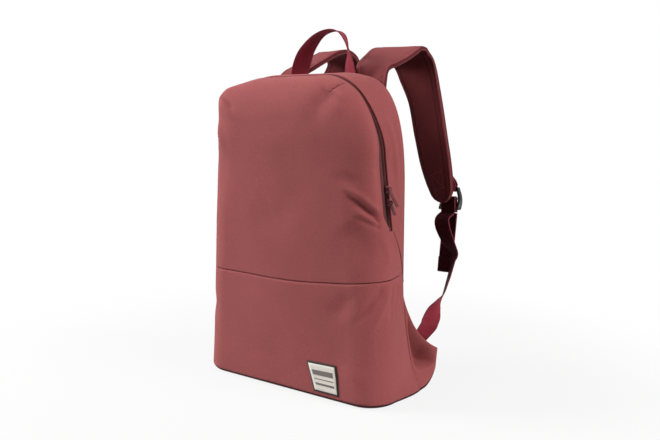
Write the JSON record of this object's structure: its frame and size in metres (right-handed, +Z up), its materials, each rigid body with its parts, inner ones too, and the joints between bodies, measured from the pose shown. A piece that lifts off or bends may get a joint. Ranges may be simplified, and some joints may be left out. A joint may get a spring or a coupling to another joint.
{
  "type": "travel backpack",
  "caption": "Slim fabric travel backpack with a zipped fold-down top flap, front slit pocket, laptop sleeve, padded shoulder straps, ladder buckles and a webbing haul handle.",
  "frame": {"origin": "on the floor under the middle of the base", "axes": "+Z up, -Y towards the front panel, +X to the right of someone facing the front"},
  "size_m": [0.3278, 0.2513, 0.4952],
  "materials": {
    "cloth": "fine matt weave",
    "lining": "dark padded cloth",
    "webbing": "ribbed webbing",
    "zip_tape": "woven tape",
    "zip_teeth": "coil",
    "zip_metal": "satin paint",
    "foam": "closed-cell foam",
    "board": "plain sheet",
    "label": "woven label",
    "buckle": "moulded, slightly glossy"
  },
  "bodies": {
    "pack": {"base_panel": "cloth", "lower_front_panel": "cloth", "middle_front_panel": "cloth", "gusset": "cloth", "back_panel": "cloth", "left_wing": "cloth", "right_wing": "cloth", "left_strap_root": "cloth", "right_strap_root": "cloth", "back_lining": "lining", "laptop_sleeve": "lining", "pocket_bag": "lining", "left_webbing_anchor": "webbing", "right_webbing_anchor": "webbing", "main_zip_tape_rear": "zip_tape", "side_zip_tapes": "zip_tape", "main_zip_teeth_rear": "zip_teeth", "side_zip_teeth": "zip_teeth", "zip_stops": "zip_teeth", "back_foam": "foam", "base_board": "board", "label_patch": "label"},
    "front_flap": {"front_flap_panel": "cloth", "main_zip_tape_front": "zip_tape", "main_zip_teeth_front": "zip_teeth"},
    "upper_slider": {"upper_slider": "zip_metal"},
    "upper_pull": {"upper_pull": "zip_metal"},
    "lower_slider": {"lower_slider": "zip_metal"},
    "lower_pull": {"lower_pull": "zip_metal"},
    "haul_handle": {"haul_handle": "webbing"},
    "left_strap": {"left_strap_cover": "cloth", "left_strap_foam": "foam", "left_strap_lining": "lining", "left_keeper": "webbing", "left_webbing": "webbing", "left_webbing_tail": "webbing"},
    "right_strap": {"right_strap_cover": "cloth", "right_strap_foam": "foam", "right_strap_lining": "lining", "right_keeper": "webbing", "right_webbing": "webbing", "right_webbing_tail": "webbing"},
    "left_buckle": {"left_buckle": "buckle", "left_webbing_wrap": "webbing"},
    "right_buckle": {"right_buckle": "buckle", "right_webbing_wrap": "webbing"}
  },
  "joints": [
    {"name": "flap_fold", "type": "hinge", "parent": "pack", "child": "front_flap", "pos_m": [0, -0.063, 0.335], "axis": [1, 0, 0], "range_deg": [0, 105]},
    {"name": "upper_slider_run", "type": "slide", "parent": "pack", "child": "upper_slider", "axis": [-0.1162, 0, 0.9932], "range_m": [0, 0.034]},
    {"name": "upper_pull_swing", "type": "hinge", "parent": "upper_slider", "child": "upper_pull", "pos_m": [0.13787, -0.015, 0.28226], "axis": [0, -1, 0], "range_deg": [0, 130]},
    {"name": "lower_slider_run", "type": "slide", "parent": "pack", "child": "lower_slider", "axis": [-0.1162, 0, 0.9932], "range_m": [-0.024, 0]},
    {"name": "lower_pull_swing", "type": "hinge", "parent": "lower_slider", "child": "lower_pull", "pos_m": [0.13986, -0.015, 0.26526], "axis": [0, -1, 0], "range_deg": [0, 20]},
    {"name": "handle_fold", "type": "hinge", "parent": "pack", "child": "haul_handle", "pos_m": [0, 0.0305, 0.4323], "axis": [1, 0, 0], "range_deg": [0, 75]},
    {"name": "right_strap_swing", "type": "hinge", "parent": "pack", "child": "right_strap", "pos_m": [0.072, 0.04405, 0.43], "axis": [0.1914, 0.076, -0.9786], "range_deg": [-10, 25]},
    {"name": "left_strap_swing", "type": "hinge", "parent": "pack", "child": "left_strap", "pos_m": [-0.072, 0.04405, 0.43], "axis": [0.1914, -0.076, 0.9786], "range_deg": [-10, 25]},
    {"name": "right_buckle_tilt", "type": "hinge", "parent": "right_strap", "child": "right_buckle", "pos_m": [0.139, 0.15703, 0.268], "axis": [0.9869, -0.1521, 0.0539], "range_deg": [-8, 25]},
    {"name": "left_buckle_tilt", "type": "hinge", "parent": "left_strap", "child": "left_buckle", "pos_m": [-0.139, 0.15703, 0.268], "axis": [0.9869, 0.1521, -0.0539], "range_deg": [-8, 25]}
  ]
}
